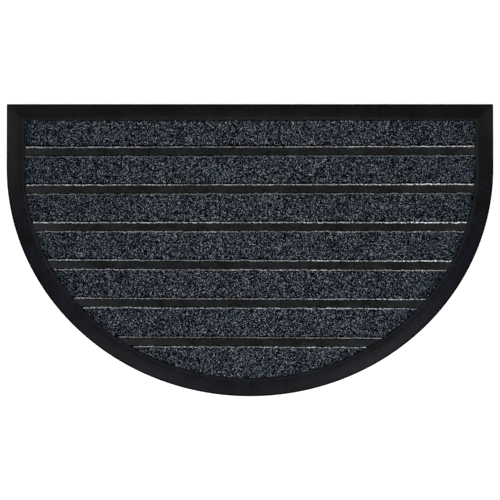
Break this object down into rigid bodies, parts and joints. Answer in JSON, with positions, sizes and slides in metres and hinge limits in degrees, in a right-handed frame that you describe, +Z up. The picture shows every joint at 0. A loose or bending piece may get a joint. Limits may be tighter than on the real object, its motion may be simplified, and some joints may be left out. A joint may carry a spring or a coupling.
{
  "type": "half round doormat",
  "caption": "Flat half round entrance mat: a black rubber tray with a bevelled border and cross bars, its pockets filled with grey pile carpet that wipes shoes.",
  "frame": {"origin": "on the floor, at the middle of the outline's box", "axes": "+X along the straight edge, +Y towards the straight edge, +Z up from the floor; the round side is at -Y"},
  "size_m": [0.762, 0.457, 0.007],
  "materials": {
    "rubber": "moulded, black, dull sheen",
    "pile": "polypropylene pile, blue grey mixed with near black"
  },
  "bodies": {
    "root": {"rubber_tray": "rubber", "carpet_strip_1": "pile", "carpet_strip_2": "pile", "carpet_strip_3": "pile", "carpet_strip_4": "pile", "carpet_strip_5": "pile", "carpet_strip_6": "pile", "carpet_strip_7": "pile"}
  },
  "joints": []
}
